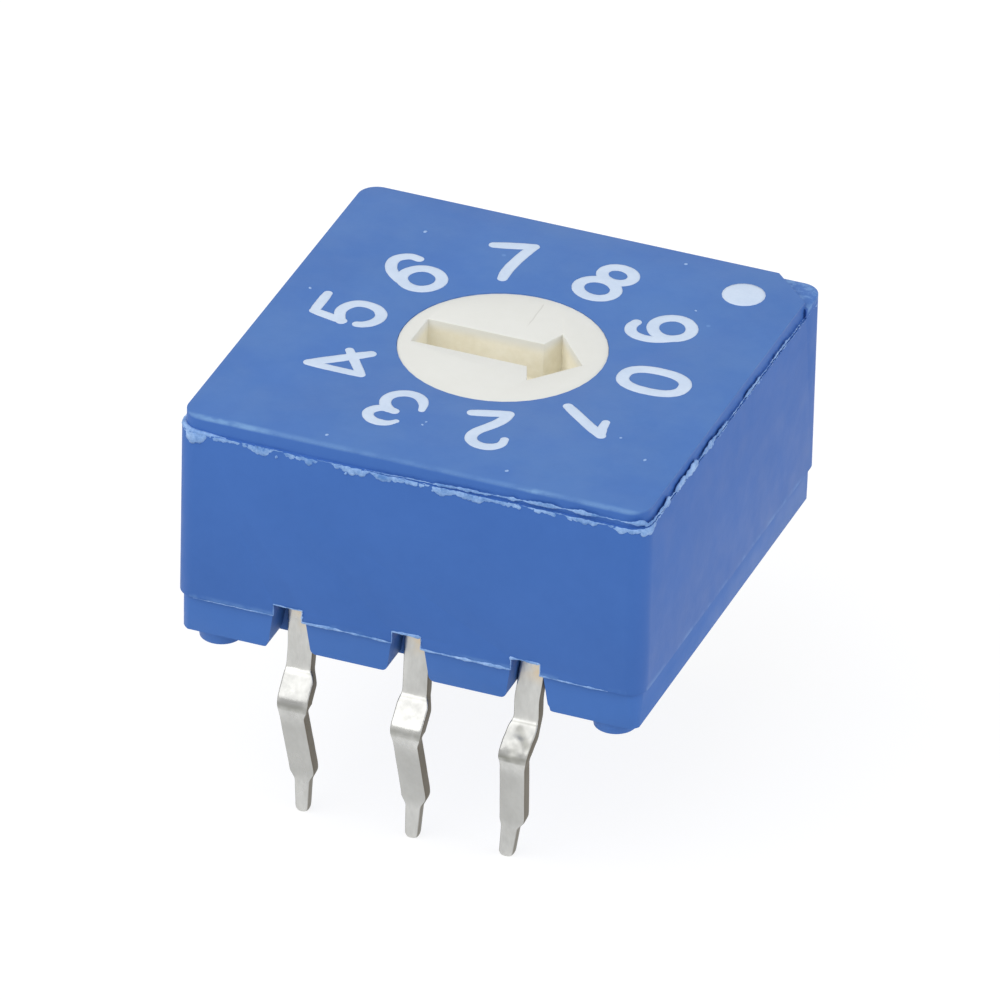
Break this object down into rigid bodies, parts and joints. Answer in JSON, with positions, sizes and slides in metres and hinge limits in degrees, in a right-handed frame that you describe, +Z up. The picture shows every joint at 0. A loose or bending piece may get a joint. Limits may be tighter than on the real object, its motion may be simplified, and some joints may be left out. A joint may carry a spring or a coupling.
{
  "type": "rotary coded switch",
  "caption": "Square blue board-mounted rotary coded switch with an ivory arrow-slotted rotor, a printed digit ring and two rows of kinked terminals.",
  "frame": {"origin": "on the rotor's axis, in the plane of the terminals' tips", "axes": "+Z up along the rotor's axis, +X the way the arrow points at position 0, the two rows of terminals lie along -Y and +Y"},
  "size_m": [0.01, 0.01, 0.0093],
  "materials": {
    "housing_plastic": "satin blue moulding",
    "base_plastic": "satin blue moulding",
    "rotor_plastic": "satin ivory moulding",
    "seal_rubber": "matt black",
    "terminal_metal": "tin plated",
    "contact_metal": "gold plated",
    "spring_steel": "rolled"
  },
  "bodies": {
    "switch_body": {"housing": "housing_plastic", "base": "base_plastic", "detent_spring": "spring_steel", "terminal_1": "terminal_metal", "terminal_2": "terminal_metal", "terminal_4": "terminal_metal", "terminal_8": "terminal_metal", "terminal_common": "terminal_metal", "contact_spring_1": "contact_metal", "contact_spring_2": "contact_metal", "contact_spring_4": "contact_metal", "contact_spring_8": "contact_metal", "contact_spring_common": "contact_metal"},
    "rotor_assembly": {"rotor": "rotor_plastic", "o_ring": "seal_rubber", "code_disc": "contact_metal"}
  },
  "joints": [
    {"name": "rotor_turn", "type": "hinge", "parent": "switch_body", "child": "rotor_assembly", "pos_m": [0, 0, 0.007], "axis": [0, 0, 1], "continuous": true}
  ]
}
